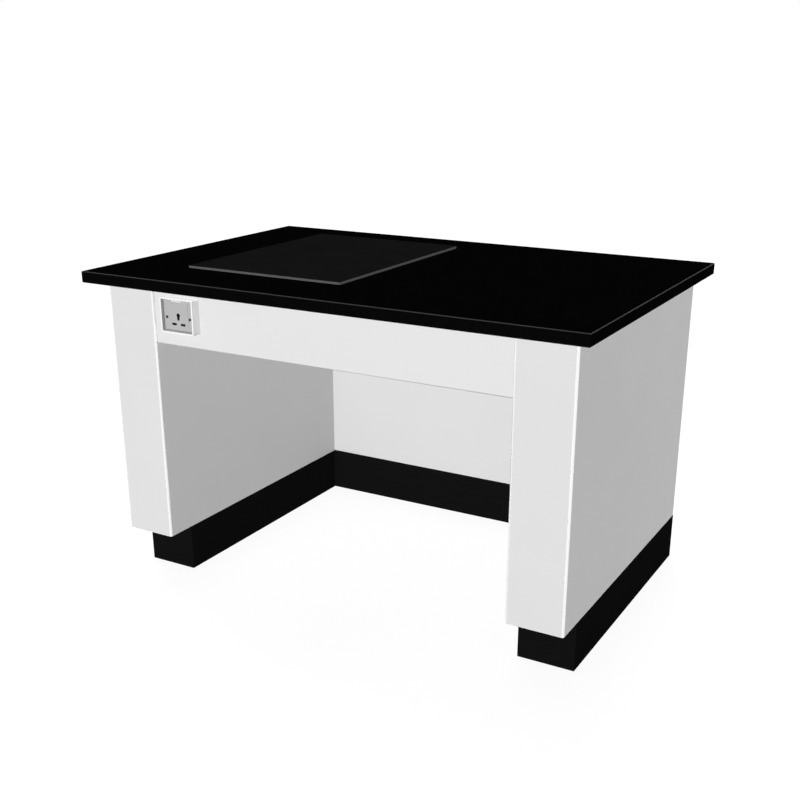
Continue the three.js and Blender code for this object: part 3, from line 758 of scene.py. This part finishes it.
def dress_collar():
    """The white collar, with a painted highlight on its front rim and painted shade in the pocket round the
    face plate.
    """
    bm = welded("socket_collar")
    outer_low, outer_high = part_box("socket_collar")
    low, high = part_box("socket_face_plate")
    centre = middle(low, high)
    reach = (high - low) / 2
    finishes = [white_plastic, pocket_shade_plastic, rim_highlight_plastic]
    # The rim's front faces and its rounded outer edges take the painted highlight.
    rim_highlight = finishes.index(rim_highlight_plastic)
    for face in bm.faces:
        offset = face.calc_center_median() - centre
        on_side = abs(abs(offset.x) - reach.x) < POCKET_REACH and abs(face.normal.x) > SQUARE_SHARE
        on_end = abs(abs(offset.z) - reach.z) < POCKET_REACH and abs(face.normal.z) > SQUARE_SHARE
        faces_front = face.normal.y < -SQUARE_SHARE
        # Pocket walls and the ledge behind the plate take the painted shade.
        if on_side or on_end or (faces_front and offset.y > 0):
            face.material_index = finishes.index(pocket_shade_plastic)
        elif faces_front and face.calc_center_median().y < outer_low.y + POCKET_REACH:
            face.material_index = rim_highlight
    ease(bm, outline_edges(bm, outer_low, outer_high, POCKET_REACH), RIM_EASE, RIM_STEPS, rim_highlight)
    ease(bm, sharp_edges(bm), PLASTIC_EASE, steps=3)
    dress("socket_collar", bm, finishes)


def dress_face_plate():
    """The grey plate, whose chamfered border is painted darker as the shade of the collar."""
    bm = welded("socket_face_plate")
    low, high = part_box("socket_face_plate")
    finishes = [grey_plastic, pocket_shade_plastic]
    border = outline_edges(bm, low, high, WELD)
    # The chamfered border takes the painted shade.
    ease(bm, border, PLATE_CHAMFER, steps=1, finish=finishes.index(pocket_shade_plastic))
    ease(bm, sharp_edges(bm), INSERT_EASE)
    dress("socket_face_plate", bm, finishes)


def dress_module():
    """The grey insert, painted near black inside its pin openings and on their lead-ins as painted shade."""
    bm = welded("socket_module")
    low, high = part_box("socket_module")
    finishes = [grey_plastic, opening_shade_plastic]
    # The faces inside the openings and the lead-ins take the painted shade.
    dark = finishes.index(opening_shade_plastic)
    for face in bm.faces:
        inside = inset(face.calc_center_median(), low, high) > POCKET_REACH
        if inside and abs(face.normal.y) < HOLE_SHARE:
            face.material_index = dark
    earth_mouth, pin_mouths = [], []
    for edge in front_edges(bm, low.y):
        if any(face.material_index == dark for face in edge.link_faces):
            off_centre = abs(edge.verts[0].co.x - middle(low, high).x)
            mouth = earth_mouth if off_centre < EARTH_REACH else pin_mouths
            mouth.append(edge)
    ease(bm, earth_mouth, EARTH_LEAD_IN, finish=dark)
    ease(bm, pin_mouths, LEAD_IN, finish=dark)
    ease(bm, sharp_edges(bm), INSERT_EASE)
    dress("socket_module", bm, finishes)


def dress_socket():
    dress_collar()
    dress_face_plate()
    dress_module()
    for contact in ("earth", "neutral", "line"):
        dress_eased(f"{contact}_contact", brass, METAL_EASE)
    facing_front = Matrix.Rotation(math.pi / 2, 4, "X")
    for side in SIDES:
        node = f"plate_screw_{side}"
        low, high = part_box(node)
        length = high.y - low.y - PLATE_SCREW_HEAD
        bm = recessed_screw((high.x - low.x) / 2, PLATE_SCREW_HEAD, PLATE_SCREW_SHANK, length)
        centre = middle(low, high)
        seat = (centre.x, low.y + PLATE_SCREW_HEAD, centre.z)
        bm.transform(Matrix.Translation(seat) @ facing_front)
        dress(node, bm, [dark_screw])


# Stage, lights and camera

def leave_out_bounce():
    """Stops the large panels from lighting or shading each other, as in the flat light of the photograph."""
    panels = ["worktop", "weighing_slab", "modesty_panel", "socket_collar"]
    for side in SIDES:
        panels += [f"{side}_pedestal_shell", f"{side}_rear_cover"]
    for node in panels:
        bpy.data.objects[f"{node}_dressed"].visible_diffuse = False


def shows_background(tree):
    """1 for rays from the camera, off gloss or through glass, and 0 for the others."""
    path = tree.nodes.new("ShaderNodeLightPath")
    total = path.outputs["Is Camera Ray"]
    for kind in ("Is Glossy Ray", "Is Transmission Ray"):
        either = tree.nodes.new("ShaderNodeMath")
        either.operation = "MAXIMUM"
        tree.links.new(total, either.inputs[0])
        tree.links.new(path.outputs[kind], either.inputs[1])
        total = either.outputs["Value"]
    return total


def set_world():
    """A white surrounding that lights the table only gently."""
    world = bpy.data.worlds.new("studio")
    world.use_nodes = True
    tree = world.node_tree
    background = tree.nodes["Background"]
    background.inputs["Color"].default_value = grey(1.0)
    level = tree.nodes.new("ShaderNodeMapRange")
    level.inputs["To Min"].default_value = WORLD_LEVEL
    level.inputs["To Max"].default_value = 1.0
    tree.links.new(shows_background(tree), level.inputs["Value"])
    tree.links.new(level.outputs["Result"], background.inputs["Strength"])
    bpy.context.scene.world = world


def add_floor():
    """A pale floor that reads as white and still takes the table's shadow."""
    bm = bmesh.new()
    square = ((-1, -1), (1, -1), (1, 1), (-1, 1))
    bm.faces.new([bm.verts.new((x * FLOOR_REACH, y * FLOOR_REACH, -FLOOR_DROP)) for x, y in square])
    mesh = bpy.data.meshes.new("floor")
    bm.to_mesh(mesh)
    bm.free()
    material = bpy.data.materials.new("floor")
    material.use_nodes = True
    tree = material.node_tree
    shader = tree.nodes["Principled BSDF"]
    shader.inputs["Base Color"].default_value = grey(FLOOR_TONE)
    shader.inputs["Roughness"].default_value = 1.0
    shader.inputs["Specular IOR Level"].default_value = 0.0
    shader.inputs["Emission Color"].default_value = grey(1.0)
    glow = tree.nodes.new("ShaderNodeMath")
    glow.operation = "MULTIPLY"
    glow.inputs[1].default_value = FLOOR_GLOW
    tree.links.new(shows_background(tree), glow.inputs[0])
    tree.links.new(glow.outputs["Value"], shader.inputs["Emission Strength"])
    mesh.materials.append(material)
    floor = bpy.data.objects.new("floor", mesh)
    bpy.context.scene.collection.objects.link(floor)


def add_sun(name, azimuth, elevation, level, spread, shadow):
    """A far soft light; its energy of pi times the level shows a facing surface at that level."""
    light = bpy.data.lights.new(name, "SUN")
    light.use_shadow = shadow
    light.energy = level * math.pi
    light.angle = math.radians(spread)
    lamp = bpy.data.objects.new(name, light)
    across, up = math.radians(azimuth), math.radians(elevation)
    towards = Vector((math.sin(across) * math.cos(up), -math.cos(across) * math.cos(up), math.sin(up)))
    lamp.rotation_euler = (-towards).to_track_quat("-Z", "Y").to_euler()
    bpy.context.scene.collection.objects.link(lamp)


def add_camera():
    data = bpy.data.cameras.new("camera")
    data.sensor_width = SENSOR_WIDTH
    data.lens = FOCAL_PIXELS / IMAGE_SIZE * SENSOR_WIDTH
    data.shift_x = (IMAGE_SIZE / 2 - VIEW_CENTRE[0]) / IMAGE_SIZE
    data.shift_y = (VIEW_CENTRE[1] - IMAGE_SIZE / 2) / IMAGE_SIZE
    camera = bpy.data.objects.new("camera", data)
    camera.location = CAMERA_PLACE
    camera.rotation_euler = (math.radians(90 + CAMERA_PITCH), 0, math.radians(CAMERA_YAW))
    bpy.context.scene.collection.objects.link(camera)
    bpy.context.scene.camera = camera


add_camera()
set_world()
add_floor()
add_sun("key", KEY_AZIMUTH, KEY_ELEVATION, KEY_LEVEL, KEY_SPREAD, shadow=False)
add_sun("left", LEFT_AZIMUTH, LEFT_ELEVATION, LEFT_LEVEL, LEFT_SPREAD, shadow=False)
add_sun("rear", REAR_AZIMUTH, REAR_ELEVATION, REAR_LEVEL, REAR_SPREAD, shadow=True)
bpy.context.scene.view_settings.view_transform = "Standard"

dress_worktop()
dress_slab()
dress_sheet_steel()
dress_frame()
dress_plinth()
dress_isolators()
dress_feet()
dress_grommet()
dress_socket()
leave_out_bounce()
